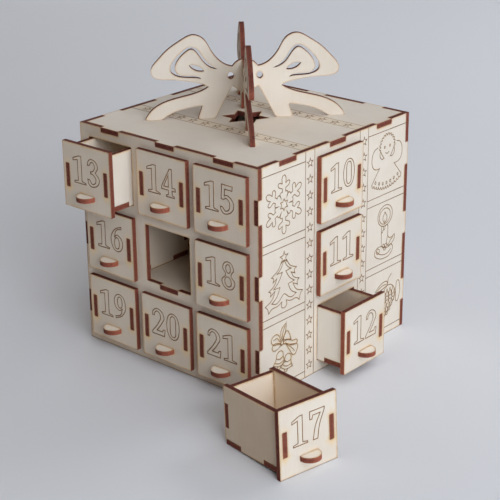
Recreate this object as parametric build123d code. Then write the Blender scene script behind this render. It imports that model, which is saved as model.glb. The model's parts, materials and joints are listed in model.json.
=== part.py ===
from build123d import *
import os
from math import atan2, degrees

# A wooden advent calendar: a plywood gift box with 24 drawers and a bow.
# Millimetres. +Z is up, the origin is the middle of the box on the table,
# and the face with drawers 13 to 21 looks along -Y.

# The sheet and its joints
SHEET = 3.0              # plywood thickness
TAB = 15.0               # length of a tab along its edge
FIT = 0.1                # room round a tab in its slot
OVERRUN = 2.0            # how far a cut runs past what it cuts

# The box
BOX_WIDTH = 145.0        # along X
BOX_DEPTH = 145.0        # along Y
BOX_HEIGHT = 146.0
RAIL = 9.6               # wood between neighbouring openings

# The drawers
SIDE_PLAY = 0.45         # room beside a tray in its opening
UNDER_PLAY = 0.1         # room under a tray on its shelf
OVER_PLAY = 0.9          # room above a tray
SIDE_LIP = 1.9           # how far a front board covers the panel at the sides
END_LIP = 2.25           # how far it covers the panel above and below
BACK_SPACE = 5.6         # from a tray's end to the cross drawers' openings
TAIL = 0.8               # how far the tray's sides run past its back
BACK_DROP = 1.0          # how far the tray's back ends below its sides
FLOOR_TAB = 14.1         # length of a tray floor's tabs
FLOOR_PLAY = 0.4         # room above a tab of the tray's floor
PULL_RADIUS = 6.4
PULL_REACH = 7.2         # how far a pull stands out of its board
PULL_RISE = 9.0          # from the board's lower edge to the pull's middle
PULL_TAB = 8.0           # width of the pull's tab through the board

# How far each drawer stands open
AJAR = 0.8
OPEN_TWELVE = 19.6
OPEN_THIRTEEN = 17.4

# Drawer 17 lies on the table in front of the box's right corner
LOOSE_ASIDE = 67.5       # from the right face to its board's lower edge
LOOSE_AHEAD = 40.0       # from the front face to that edge
LOOSE_TURN = 79.0        # degrees about Z from facing forward

# The bow and the star hole under it
BOW_REACH = 62.0         # from the middle to a tail's tip
BOW_RISE = 52.7          # from the lid to the top of a loop
LEAF_WIDTH = 3.2         # widest part of the leaf cut inside the slit
EYE_WIDTH = 3.7          # hole beside the knot
EYE_HEIGHT = 4.4
FOOT_TAB = 6.0           # length of a foot's tab in the lid
STAR_RADIUS = 15.2

# The bow's outline as shares of its reach and rise, from the middle outwards
KNOT_TOP_SHARE = (0, 0.704)
VALLEY_SHARE = (0.127, 0.62)
LOOP_SHARES = [(0.241, 0.68), (0.335, 0.815), (0.41, 0.953), (0.513, 1.0), (0.624, 0.944),
               (0.756, 0.839), (0.875, 0.698), (0.931, 0.592), (0.922, 0.53), (0.88, 0.494)]
UNDER_LOOP_SHARES = [(0.752, 0.477), (0.543, 0.45), (0.429, 0.42)]
NOTCH_SHARE = (0.361, 0.384)
TAIL_SHARES = [(0.458, 0.324), (0.7, 0.247), (0.911, 0.137)]
TAIL_TIP_SHARE = (1, 0)
TAIL_FOOT_SHARE = (0.831, 0)
UNDER_TAIL_SHARES = [(0.694, 0.093), (0.558, 0.137)]
CROTCH_SHARE = (0.429, 0.161)
LEG_FOOT_SHARES = [(0.476, 0), (0.302, 0)]
ARCH_SHARE = (0.131, 0.389)
KNOT_FOOT_SHARE = (0, 0.281)
SLIT_START_SHARE = (0.272, 0.594)
SLIT_OUTER_SHARES = [(0.328, 0.63), (0.409, 0.728), (0.478, 0.84), (0.535, 0.863), (0.612, 0.816),
                     (0.686, 0.73), (0.734, 0.63), (0.733, 0.572), (0.693, 0.528), (0.57, 0.498)]
SLIT_INNER_SHARES = [(0.328, 0.606), (0.409, 0.677), (0.474, 0.787), (0.526, 0.832), (0.58, 0.804),
                     (0.645, 0.733), (0.684, 0.66), (0.692, 0.59), (0.67, 0.547), (0.57, 0.52)]
SLIT_END_SHARE = (0.434, 0.476)
LEAF_SHARES = [(0.404, 0.571), (0.557, 0.647)]
EYE_SHARE = (0.144, 0.512)

# Worked out from the sizes above
THIRDS = (-1, 0, 1)
INNER_WIDTH = BOX_WIDTH - 2 * SHEET
INNER_DEPTH = BOX_DEPTH - 2 * SHEET
COLUMN_PITCH = INNER_WIDTH / len(THIRDS)
DEPTH_PITCH = INNER_DEPTH / len(THIRDS)
ROW_PITCH = (BOX_HEIGHT - 2 * SHEET) / len(THIRDS)
MIDDLE_ROW = BOX_HEIGHT / 2
OPENING_WIDTH = COLUMN_PITCH - RAIL
OPENING_DEPTH = DEPTH_PITCH - RAIL
OPENING_HEIGHT = ROW_PITCH - RAIL


def row_height(row):
    """Height of the middle of a row of openings; row 1 is the top one."""
    return MIDDLE_ROW + row * ROW_PITCH


def slab(x, y, z):
    """A box from three pairs of lowest and highest coordinates."""
    size = [high - low for low, high in (x, y, z)]
    middle = [(high + low) / 2 for low, high in (x, y, z)]
    return Pos(*middle) * Box(*size)


def about(centre, length, room=0):
    """The pair of coordinates that a length takes up about its centre."""
    return (centre - length / 2 - room, centre + length / 2 + room)


def wall(width, reach, opening, columns, holes):
    """A wall panel at y = 0 to SHEET, with fingers out to its reach, openings and notches."""
    panel = slab(about(0, width), (0, SHEET), (0, BOX_HEIGHT))
    for row in THIRDS:
        panel += slab(about(0, reach), (0, SHEET), about(row_height(row), TAB))
    through = (-OVERRUN, SHEET + OVERRUN)
    lid_notch = (BOX_HEIGHT - SHEET - FIT, BOX_HEIGHT + OVERRUN)
    for place in columns:
        panel -= slab(about(place, TAB, FIT), through, lid_notch)
    for row in THIRDS:
        middle = row_height(row)
        sill = middle - OPENING_HEIGHT / 2
        for place in holes:
            panel -= slab(about(place, opening), through, about(middle, OPENING_HEIGHT))
            panel -= slab(about(place, TAB, FIT), through, (sill - SHEET - FIT, middle))
    return panel


def front_wall():
    """The front panel: full width, with notches at its ends for the side panels' fingers."""
    columns = [third * COLUMN_PITCH for third in THIRDS]
    panel = wall(BOX_WIDTH, BOX_WIDTH, OPENING_WIDTH, columns, columns)
    for row in THIRDS:
        notch = about(row_height(row), TAB, FIT)
        for side in (-1, 1):
            edge = side * BOX_WIDTH / 2
            panel -= slab(about(edge, 2 * (SHEET + FIT)), (-OVERRUN, SHEET + OVERRUN), notch)
    return Pos(0, -BOX_DEPTH / 2, 0) * panel


def right_wall():
    """The right panel: fits between front and back, with fingers through their ends."""
    columns = [third * DEPTH_PITCH for third in THIRDS]
    panel = wall(INNER_DEPTH - 2 * FIT, BOX_DEPTH, OPENING_DEPTH, columns, [0])
    return Rot(0, 0, 90) * Pos(0, -BOX_WIDTH / 2, 0) * panel


def plate_with_tabs(front_places, side_places, top):
    """A flat plate inside the walls, with tabs out to the faces, its upper face at top."""
    level = (top - SHEET, top)
    plate = slab(about(0, INNER_WIDTH, -FIT), about(0, INNER_DEPTH, -FIT), level)
    for place in front_places:
        plate += slab(about(place, TAB), about(0, BOX_DEPTH), level)
    for place in side_places:
        plate += slab(about(0, BOX_WIDTH), about(place, TAB), level)
    return plate


def shelf(row):
    """A shelf flush with the sills of one row, with a tab at every opening."""
    columns = [third * COLUMN_PITCH for third in THIRDS]
    return plate_with_tabs(columns, [0], row_height(row) - OPENING_HEIGHT / 2)


def foot_middles():
    """Distances from the middle of the bow to the middles of its feet."""
    leg = (LEG_FOOT_SHARES[0][0] + LEG_FOOT_SHARES[1][0]) / 2
    tail = (TAIL_TIP_SHARE[0] + TAIL_FOOT_SHARE[0]) / 2
    return [side * share * BOW_REACH for share in (leg, tail) for side in (-1, 1)]


def lid():
    """The top panel with its star hole and the slots for the bow's feet."""
    columns = [third * COLUMN_PITCH for third in THIRDS]
    depths = [third * DEPTH_PITCH for third in THIRDS]
    plate = plate_with_tabs(columns, depths, BOX_HEIGHT)
    triangles = RegularPolygon(STAR_RADIUS, 3, rotation=90) + RegularPolygon(STAR_RADIUS, 3, rotation=270)
    plate -= Pos(0, 0, BOX_HEIGHT) * extrude(triangles, SHEET + OVERRUN, both=True)
    for turn in (45, -45):
        for middle in foot_middles():
            slot = slab(about(middle, FOOT_TAB, FIT), about(0, SHEET, FIT), about(BOX_HEIGHT, 4 * SHEET))
            plate -= Rot(0, 0, turn) * slot
    return plate


def bow_point(share, side):
    """A point of the bow's outline, on its left or right half."""
    return (side * share[0] * BOW_REACH, share[1] * BOW_RISE)


def bow_outline():
    """The whole outline of a bow plate as a face in X and Y, with its slits and holes cut."""
    def points(shares, side):
        return [bow_point(share, side) for share in shares]
    valleys = [bow_point(VALLEY_SHARE, side) for side in (-1, 1)]
    edges = [ThreePointArc(valleys[0], bow_point(KNOT_TOP_SHARE, 1), valleys[1])]
    leg = [CROTCH_SHARE] + LEG_FOOT_SHARES + [ARCH_SHARE, KNOT_FOOT_SHARE]
    for side in (-1, 1):
        edges.append(Spline(points([VALLEY_SHARE] + LOOP_SHARES + UNDER_LOOP_SHARES + [NOTCH_SHARE], side)))
        edges.append(Spline(points([NOTCH_SHARE] + TAIL_SHARES + [TAIL_TIP_SHARE], side)))
        edges.append(Line(points([TAIL_TIP_SHARE, TAIL_FOOT_SHARE], side)))
        edges.append(Spline(points([TAIL_FOOT_SHARE] + UNDER_TAIL_SHARES + [CROTCH_SHARE], side)))
        edges.append(Polyline(points(leg, side)))
    face = make_face(edges)
    for side in (-1, 1):
        rims = [[SLIT_START_SHARE] + shares + [SLIT_END_SHARE]
                for shares in (SLIT_OUTER_SHARES, SLIT_INNER_SHARES)]
        face -= make_face([Spline(points(rim, side)) for rim in rims])
        face -= leaf(points(LEAF_SHARES, side))
        face -= Pos(*bow_point(EYE_SHARE, side)) * Ellipse(EYE_WIDTH / 2, EYE_HEIGHT / 2)
    return face


def leaf(ends):
    """A pointed leaf between two ends."""
    start, end = [Vector(*point) for point in ends]
    middle = (start + end) / 2
    across = (end - start).normalized().rotate(Axis.Z, 90) * LEAF_WIDTH / 2
    upper = ThreePointArc(start, middle + across, end)
    lower = ThreePointArc(end, middle - across, start)
    return make_face([upper, lower])


def bow_plate(turn, lap_from_top):
    """One plate of the bow, standing on the lid, turned about Z, half-lapped at the middle."""
    plate = extrude(bow_outline(), SHEET / 2, both=True)
    for middle in foot_middles():
        plate += slab(about(middle, FOOT_TAB), (-SHEET, 0), about(0, SHEET))
    low, high = KNOT_FOOT_SHARE[1] * BOW_RISE, KNOT_TOP_SHARE[1] * BOW_RISE
    half = (low + high) / 2
    lap = (half - FIT, high + OVERRUN) if lap_from_top else (low - OVERRUN, half + FIT)
    plate -= slab(about(0, SHEET, FIT), lap, about(0, SHEET, OVERRUN))
    return Rot(0, 0, turn) * Pos(0, 0, BOX_HEIGHT) * Rot(90, 0, 0) * plate


class Drawer:
    """Sizes of a drawer for an opening, in the frame of the opening's middle on the panel's face."""

    def __init__(self, opening, depth):
        self.width = opening - 2 * SIDE_PLAY
        self.length = (depth - opening) / 2 - BACK_SPACE
        self.low = -OPENING_HEIGHT / 2 + UNDER_PLAY
        self.high = OPENING_HEIGHT / 2 - OVER_PLAY
        self.middle = (self.low + self.high) / 2
        self.board_low = -OPENING_HEIGHT / 2 - END_LIP
        self.board_high = OPENING_HEIGHT / 2 + END_LIP
        self.board_width = opening + 2 * SIDE_LIP
        self.tab = about(self.middle, TAB)

    def front(self):
        """The front board and its pull."""
        board = slab(about(0, self.board_width), (-SHEET, 0), (self.board_low, self.board_high))
        through = (-SHEET - OVERRUN, OVERRUN)
        for side in (-1, 1):
            place = side * (self.width - SHEET) / 2
            board -= slab(about(place, SHEET, FIT), through, about(self.middle, TAB, FIT))
        level = about(self.board_low + PULL_RISE, SHEET)
        board -= slab(about(0, PULL_TAB, FIT), through, about(self.board_low + PULL_RISE, SHEET, FIT))
        disc = Pos(0, PULL_RADIUS - PULL_REACH - SHEET, level[0]) * extrude(Circle(PULL_RADIUS), SHEET)
        pull = disc - slab(about(0, BOX_WIDTH), (-SHEET, BOX_DEPTH), about(0, BOX_HEIGHT))
        pull += slab(about(0, PULL_TAB), (-SHEET, 0), level)
        return [board, pull]

    def side(self, hand):
        """A side of the tray, with a tab into the board and room for the tabs of back and floor."""
        place = about(hand * (self.width - SHEET) / 2, SHEET)
        plate = slab(place, (0, self.length), (self.low, self.high))
        plate += slab(place, (-SHEET, 0), self.tab)
        across = about(hand * (self.width - SHEET) / 2, SHEET, OVERRUN)
        back = about(self.length - TAIL - SHEET / 2, SHEET, FIT)
        plate -= slab(across, back, about(self.middle, TAB, FIT))
        floor_notch = (self.low - OVERRUN, self.low + SHEET + FLOOR_PLAY)
        plate -= slab(across, (-OVERRUN, FLOOR_TAB + FIT), floor_notch)
        plate -= slab(across, (self.length - FLOOR_TAB - FIT, self.length + OVERRUN), floor_notch)
        return plate

    def floor(self):
        """The tray's floor, full width at its ends and narrower between its tabs."""
        end = self.length - TAIL
        plate = slab(about(0, self.width), (0, end), (self.low, self.low + SHEET))
        for hand in (-1, 1):
            notch = about(hand * self.width / 2, 2 * (SHEET + FIT))
            plate -= slab(notch, (FLOOR_TAB, self.length - FLOOR_TAB), about(self.low, 4 * SHEET))
        return plate

    def back(self):
        """The tray's back, standing on the floor between the sides, with a tab through each."""
        thick = about(self.length - TAIL - SHEET / 2, SHEET)
        tall = (self.low + SHEET, self.high - BACK_DROP)
        plate = slab(about(0, self.width - 2 * SHEET, -FIT), thick, tall)
        plate += slab(about(0, self.width), thick, self.tab)
        return plate

    def tray(self):
        """The four plates of the tray."""
        return [self.side(-1), self.side(1), self.floor(), self.back()]

    def tilt(self):
        """How far the drawer leans back when it stands on its board's lower edge and its tray's end."""
        return degrees(atan2(self.low - self.board_low, self.length - TAIL))


def face_place(turn, reach, column, row, open_by):
    """The place of a drawer whose opening is in the face that is turned about Z."""
    return Rot(0, 0, turn) * Pos(column, -reach - open_by, row_height(row))


def loose_place(drawer):
    """The place of the drawer on the table, leaning back on its board's lower edge."""
    x = BOX_WIDTH / 2 + LOOSE_ASIDE
    y = -BOX_DEPTH / 2 - LOOSE_AHEAD
    stand = Rot(-drawer.tilt(), 0, 0) * Pos(0, 0, -drawer.board_low)
    return Pos(x, y, 0) * Rot(0, 0, LOOSE_TURN) * stand


def drawers():
    """Each drawer's number with its sizes and its place."""
    across = Drawer(OPENING_WIDTH, BOX_DEPTH)
    along = Drawer(OPENING_DEPTH, BOX_WIDTH)
    open_by = {12: OPEN_TWELVE, 13: OPEN_THIRTEEN}
    on_table = 17
    grid = [(row, third * COLUMN_PITCH) for row in reversed(THIRDS) for third in THIRDS]
    stack = [(row, 0) for row in reversed(THIRDS)]
    faces = [(1, 180, BOX_DEPTH / 2, across, grid), (10, 90, BOX_WIDTH / 2, along, stack),
             (13, 0, BOX_DEPTH / 2, across, grid), (22, 270, BOX_WIDTH / 2, along, stack)]
    for first, turn, reach, drawer, places in faces:
        for number, (row, column) in enumerate(places, first):
            place = face_place(turn, reach, column, row, open_by.get(number, AJAR))
            if number == on_table:
                place = loose_place(drawer)
            yield number, drawer, place


def build():
    """Every node's name with its solids."""
    nodes = {
        "front_panel": front_wall(),
        "back_panel": Rot(0, 0, 180) * front_wall(),
        "right_panel": right_wall(),
        "left_panel": Rot(0, 0, 180) * right_wall(),
        "top_panel": lid(),
        "bottom_shelf": shelf(-1),
        "middle_shelf": shelf(0),
        "upper_shelf": shelf(1),
        "bow_plate_rear": bow_plate(45, True),
        "bow_plate_front": bow_plate(-45, False),
    }
    for number, drawer, place in drawers():
        nodes[f"drawer_{number:02d}_front"] = Compound([place * piece for piece in drawer.front()])
        nodes[f"drawer_{number:02d}_tray"] = Compound([place * piece for piece in drawer.tray()])
    return nodes


os.makedirs("parts", exist_ok=True)
for name, solids in build().items():
    export_step(solids, f"parts/{name}.step")
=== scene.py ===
import json
import math

import bmesh
import bpy
from bpy.props import FloatProperty, FloatVectorProperty, PointerProperty
from mathutils import Matrix, Vector


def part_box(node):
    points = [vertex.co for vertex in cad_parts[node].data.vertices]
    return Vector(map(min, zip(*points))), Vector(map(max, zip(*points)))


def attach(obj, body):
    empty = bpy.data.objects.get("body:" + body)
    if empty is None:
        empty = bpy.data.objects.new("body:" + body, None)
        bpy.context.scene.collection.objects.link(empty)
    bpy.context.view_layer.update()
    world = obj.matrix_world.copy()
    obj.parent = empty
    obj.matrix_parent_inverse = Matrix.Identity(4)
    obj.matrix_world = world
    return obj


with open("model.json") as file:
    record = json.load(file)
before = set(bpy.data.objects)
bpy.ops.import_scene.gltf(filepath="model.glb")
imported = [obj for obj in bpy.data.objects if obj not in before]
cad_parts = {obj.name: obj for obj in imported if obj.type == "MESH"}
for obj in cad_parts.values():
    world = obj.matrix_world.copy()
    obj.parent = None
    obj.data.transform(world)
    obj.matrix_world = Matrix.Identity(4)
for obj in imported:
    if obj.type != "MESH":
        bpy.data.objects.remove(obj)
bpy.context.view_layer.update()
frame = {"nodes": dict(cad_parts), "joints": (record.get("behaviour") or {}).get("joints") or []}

bl_info = {
    "name": "Advent Calendar Finishes",
    "version": (1, 0, 0),
    "blender": (4, 5, 0),
    "location": "3D View > Sidebar > Calendar",
    "description": "Plywood, engraving and a plain studio for a wooden advent calendar",
    "category": "Object",
}

# Sizes that come from the frame, in metres
MM = 0.001
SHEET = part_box("top_panel")[1].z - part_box("top_panel")[0].z
LID_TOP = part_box("top_panel")[1].z
SIDE_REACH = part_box("right_panel")[1].x
PANEL_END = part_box("front_panel")[1].x - SHEET
DRAWERS = range(1, 25)
SIDE_DRAWERS = (10, 11, 12, 22, 23, 24)
ON_TABLE = 17
LIT_DRAWERS = (*SIDE_DRAWERS, ON_TABLE)

# The trays' joints, in millimetres
TRAY_FLOOR_TAB = 14.1
TRAY_TAIL = 0.8
TRAY_BACK_TAB = 15.0
PULL_TAB = 8.0
PULL_DROP = 11.783
# Room at a limit, in millimetres, so that no face falls right on it
HAIR = 0.05

# Patterns in the plywood: the grain's scale along each axis, and the scales of the noises
UPRIGHT_GRAIN = (1000, 1000, 55)
LEVEL_GRAIN = (55, 1000, 1000)
BURN_GRAIN = (900, 900, 900)
LINE_GRAIN = (1000, 1000, 300)
STREAK_SCALE = 1.1
FLECK_SCALE = 5.5
BURN_SCALE = 0.9
FIBRE_SCALE = 2.5
CLOUD_SCALE = 38.0
PATCH_SCALE = 52.0
DRIFT_SCALE = 190.0
STAIN_SCALE = 260.0
BEAM_SCALE = 480.0
# The veneer's tone from pale to deep: its middle, and how much streaks, clouds and flecks vary it
TONE = 0.3
STREAK_SHARE = 0.5
CLOUD_SHARE = 1.0
FLECK_SHARE = 0.2
# How far the smoke reaches from a cut, and how fast it thickens as the rounded normal bends there
SMOKE_REACH = 3.0 * MM
SMOKE_GAIN = 14
# The bend at which the brown rim starts, and how fast it thickens
RIM_BEND = 0.19
RIM_GAIN = 12
# How much the smoke, the scorch and the rim cover of the veneer at most
SMOKE_SHARE = 0.9
SCORCH_SHARE = 0.7
RIM_SHARE = 0.8
# A cut edge's brown from dark to light: its start, and how much the burn adds
BURN_START = 0.18
BURN_SHARE = 0.6
# What the glued core takes from it, what faces that look up or ahead take from it as painted shade, and
# half the core in the sheet
CORE_SHADE = 0.12
TOP_PAINTED_SHADE = 0.22
FRONT_PAINTED_SHADE = 0.12
CORE_HALF = 0.19
# Relief, roughness and shine of the wood
RELIEF_DEPTH = 0.1 * MM
RELIEF_STRENGTH = 0.25
WOOD_ROUGHNESS = 0.66
MATT_SHINE = 0.12

# How much lighter or, below 0, darker the upright cut edges are than the tabs' ends, as painted light and
# shade for how the lamps fall on them, on the boards, the panels, the bow, and the lid and shelves. A pair
# is for the front and back, then for the sides.
EDGE_PAINTED_SHADING = (-0.04, 0.34)
WALL_PAINTED_SHADE = (-0.04, -0.10)
BOW_PAINTED_LIGHT = 0.22
LEVEL_PAINTED_SHADE = -0.07
# The same painted light for the pulls, where the second also counts for the drawer on the table, and how
# much lighter a pull gets towards one side, as painted light from the side of the lamps
PULL_PAINTED_LIGHT = (0.11, 0.29)
PULL_PAINTED_SIDE_LIGHT = 0.20
# How much deeper as painted shade or, below 0, paler as painted light the veneer is, on boards and panels
# in the same pair, where the first is for the front and back that lie in shade, on the outer sides of
# trays by number, and on the shelves inside the cells
FACE_PAINTED_SHADE = (0.55, 0.0)
TRAY_PAINTED_SHADING = {12: -1.0, 16: 1.0, 17: 1.3}
SHELF_PAINTED_SHADE = 1.0

# How much of the usual stain the bow's cuts have, and how much smoke lies on the lid's star bands
BOW_STAIN = 0.35
LID_HAZE = 0.3
# How much smoke lies round the lower and the upper ends of a board's slots, and how far in millimetres
SLOT_HAZE = (0.9, 0.45)
SLOT_HAZE_REACH = 4.5
# How wide the haze along the side panels' borders is, as a share of the usual
BORDER_HAZE = 0.75
# How high the painted contact shadow at the foot of a plate is, and how dark
FOOT_SHADOW_HEIGHT = 0.7 * MM
FOOT_SHADOW_SHARE = 0.75

# Steps in each bend of an engraved line, and the distance at which its points are joined
CURVE_STEPS = 8
WELD = 0.002 * MM

# Scale and strength of the floor's clouds, and the width of the camera's sensor in millimetres
FLOOR_SCALE = 3.0
FLOOR_CLOUDS = 0.12
SENSOR_WIDTH = 36

# Where each soft lamp hangs, what it points at and the side of its square, in metres
BOX_MIDDLE = (0, 0, LID_TOP / 2)
LAMPS = {"side": ((1.36, -0.32, 1.32), BOX_MIDDLE, 1.6),
         "front": ((1.68, -0.8, 0.72), BOX_MIDDLE, 1.28),
         "back": ((-1.2, 1.0, 0.9), BOX_MIDDLE, 1.2),
         "floor": ((0.35, 1.2, 1.0), (0.35, 1.2, 0), 0.8),
         "top": ((0, 0, 4), (0, 0, 0), 8)}


class CalendarEngraving(bpy.types.PropertyGroup):
    """Sizes of the engraved lines, numbers and borders"""

    line_width: FloatProperty(
        name="Line width", description="Width of an engraved line",
        default=0.00045, precision=5, unit="LENGTH")
    number_width: FloatProperty(
        name="Number line", description="Width of a number's line on a front or back board",
        default=0.00066, precision=5, unit="LENGTH")
    side_number_width: FloatProperty(
        name="Side number line", description="Width of a number's line on a side board",
        default=0.00054, precision=5, unit="LENGTH")
    line_depth: FloatProperty(
        name="Line depth", description="How deep the burnt line reaches into the wood",
        default=0.0002, precision=5, unit="LENGTH")
    line_lift: FloatProperty(
        name="Line lift", description="How far the burnt line shows above the veneer",
        default=0.00003, precision=5, unit="LENGTH")
    haze_width: FloatProperty(
        name="Haze width", description="Width of the yellow stain along an engraved line",
        default=0.0009, precision=5, unit="LENGTH")
    haze_lift: FloatProperty(
        name="Haze lift", description="How far the yellow stain shows above the veneer",
        default=0.00001, precision=5, unit="LENGTH")
    digit_height: FloatProperty(
        name="Number height", description="Height of a drawer's number",
        default=0.0174, precision=4, unit="LENGTH")
    digit_width: FloatProperty(
        name="Digit width", description="Width of one digit",
        default=0.0118, precision=4, unit="LENGTH")
    digit_gap: FloatProperty(
        name="Digit gap", description="Room between two digits",
        default=0.0006, precision=4, unit="LENGTH")
    digit_rise: FloatProperty(
        name="Number rise", description="From the board's middle up to the number's middle",
        default=0.0048, precision=4, unit="LENGTH")
    band_inner: FloatProperty(
        name="Band start", description="From a face's middle to a star band's first line",
        default=0.0219, precision=4, unit="LENGTH")
    band_outer: FloatProperty(
        name="Band end", description="From a face's middle to a star band's second line",
        default=0.0303, precision=4, unit="LENGTH")
    star_radius: FloatProperty(
        name="Star radius", description="Radius of a star in a band",
        default=0.0028, precision=4, unit="LENGTH")
    star_pitch: FloatProperty(
        name="Star pitch", description="Distance between neighbouring stars",
        default=0.0100, precision=4, unit="LENGTH")
    frame_gap: FloatProperty(
        name="Frame gap", description="Room between the frames of two pictures",
        default=0.00485, precision=5, unit="LENGTH")
    frame_edge: FloatProperty(
        name="Frame edge", description="From a side panel's ends to its outer frame lines",
        default=0.0055, precision=4, unit="LENGTH")
    frame_drop: FloatProperty(
        name="Frame drop", description="How far all the frames sit below the panel's middle",
        default=0.0007, precision=4, unit="LENGTH")


class CalendarWood(bpy.types.PropertyGroup):
    """Colours of the plywood, of what the cutting left on it, and of the painted warm bounce light inside
    the trays
    """

    veneer_pale: FloatVectorProperty(
        name="Pale veneer", description="Lightest birch veneer", subtype="COLOR", size=4,
        default=(0.825, 0.746, 0.637, 1))
    veneer_deep: FloatVectorProperty(
        name="Deep veneer", description="Darkest grain of the birch veneer", subtype="COLOR", size=4,
        default=(0.719, 0.611, 0.488, 1))
    # Painted warm bounce light: the insides of the trays take this warmer colour in place of the veneer
    inner_veneer: FloatVectorProperty(
        name="Inner bounce light", description="Warmer veneer on the inside of a tray", subtype="COLOR", size=4,
        default=(0.95, 0.80, 0.635, 1))
    pull_veneer: FloatVectorProperty(
        name="Pull veneer", description="Paler veneer on top of a pull", subtype="COLOR", size=4,
        default=(0.93, 0.835, 0.715, 1))
    smoke: FloatVectorProperty(
        name="Smoke", description="Yellow stain beside a cut", subtype="COLOR", size=4,
        default=(0.82, 0.62, 0.36, 1))
    singe: FloatVectorProperty(
        name="Singe", description="Orange stain right at a cut", subtype="COLOR", size=4,
        default=(0.56, 0.30, 0.13, 1))
    char_light: FloatVectorProperty(
        name="Light char", description="Brown of a cut edge", subtype="COLOR", size=4,
        default=(0.455, 0.138, 0.080, 1))
    char_dark: FloatVectorProperty(
        name="Dark char", description="Darkest brown of a cut edge", subtype="COLOR", size=4,
        default=(0.055, 0.0145, 0.0145, 1))
    rim: FloatVectorProperty(
        name="Rim", description="Brown of the thin line along a cut", subtype="COLOR", size=4,
        default=(0.42, 0.20, 0.075, 1))
    line_light: FloatVectorProperty(
        name="Light line", description="Lightest brown of an engraved line", subtype="COLOR", size=4,
        default=(0.36, 0.20, 0.10, 1))
    line_dark: FloatVectorProperty(
        name="Dark line", description="Darkest brown of an engraved line", subtype="COLOR", size=4,
        default=(0.12, 0.065, 0.040, 1))


class CalendarStage(bpy.types.PropertyGroup):
    """The floor, the lights and the camera"""

    floor_tone: FloatVectorProperty(
        name="Floor", description="Colour of the plain floor", subtype="COLOR", size=4,
        default=(0.821, 0.821, 0.828, 1))
    floor_shade: FloatVectorProperty(
        name="Floor shade", description="Colour of the floor's faint clouds", subtype="COLOR", size=4,
        default=(0.6, 0.6, 0.61, 1))
    floor_size: FloatProperty(
        name="Floor size", description="From the middle of the floor to its edge",
        default=12.0, unit="LENGTH")
    air: FloatVectorProperty(
        name="Room light", description="Colour of the light from all round", subtype="COLOR", size=4,
        default=(1.0, 0.72, 0.5, 1))
    air_strength: FloatProperty(
        name="Room strength", description="Strength of the light from all round", default=0.08)
    lamp_tone: FloatVectorProperty(
        name="Lamp colour", description="Colour of the soft lamps", subtype="COLOR", size=3,
        default=(0.845, 0.908, 1.0))
    side_power: FloatProperty(
        name="Side lamp", description="Power of the soft lamp high on the right",
        default=13.6, unit="POWER")
    front_power: FloatProperty(
        name="Front lamp", description="Power of the soft lamp at the front right",
        default=20.7, unit="POWER")
    back_power: FloatProperty(
        name="Back lamp", description="Power of the soft lamp behind on the left",
        default=5.0, unit="POWER")
    floor_power: FloatProperty(
        name="Floor lamp", description="Power of the soft lamp over the floor behind",
        default=7.3, unit="POWER")
    top_power: FloatProperty(
        name="Top lamp", description="Power of the wide soft lamp overhead",
        default=40.0, unit="POWER")
    eye_place: FloatVectorProperty(
        name="Camera place", description="Where the camera stands", subtype="TRANSLATION", size=3,
        default=(0.56212, -0.63822, 0.39910), unit="LENGTH")
    eye_turn: FloatProperty(
        name="Camera turn", description="Turn of the camera round the box, from the front",
        default=math.radians(41.246), subtype="ANGLE")
    eye_drop: FloatProperty(
        name="Camera drop", description="How steeply the camera looks down",
        default=math.radians(21.925), subtype="ANGLE")
    eye_roll: FloatProperty(
        name="Camera roll", description="Roll of the camera about its own line of sight",
        default=math.radians(-0.601), subtype="ANGLE")
    eye_lens: FloatProperty(
        name="Lens", description="Focal length in millimetres", default=102.4)


class Value:
    """A socket of a finish. Sums on it add Math nodes to the finish's node tree."""

    def __init__(self, tree, socket=None):
        self.tree = tree
        self.socket = socket

    def node(self, kind, settings, inputs, output=0):
        """A new node, with its settings, then the values or links of its sockets; gives an output."""
        made = self.tree.nodes.new(kind)
        for name, setting in settings.items():
            setattr(made, name, setting)
        for key, given in inputs.items():
            self.feed(made.inputs[key], given)
        return Value(self.tree, made.outputs[output])

    def feed(self, socket, given):
        """Sets an input socket to a value, or links it to another socket."""
        if isinstance(given, Value):
            self.tree.links.new(given.socket, socket)
        else:
            socket.default_value = given

    def other(self, output):
        """Another output of the same node."""
        return Value(self.tree, self.socket.node.outputs[output])

    def maths(self, operation, *operands, clamp=False):
        """A Math node on two or three operands."""
        settings = {"operation": operation, "use_clamp": clamp}
        return self.node("ShaderNodeMath", settings, dict(enumerate(operands)))

    def __add__(self, other):
        return self.maths("ADD", self, other)

    def __radd__(self, other):
        return self.maths("ADD", other, self)

    def __sub__(self, other):
        return self.maths("SUBTRACT", self, other)

    def __rsub__(self, other):
        return self.maths("SUBTRACT", other, self)

    def __mul__(self, other):
        return self.maths("MULTIPLY", self, other)

    def __rmul__(self, other):
        return self.maths("MULTIPLY", other, self)

    def __lt__(self, other):
        return self.maths("LESS_THAN", self, other)

    def __gt__(self, other):
        return self.maths("GREATER_THAN", self, other)

    def __abs__(self):
        return self.maths("ABSOLUTE", self)

    def __or__(self, other):
        return self.maths("MAXIMUM", self, other)

    def clamped(self):
        """The value held between 0 and 1."""
        return self.maths("ADD", self, 0.0, clamp=True)


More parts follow.
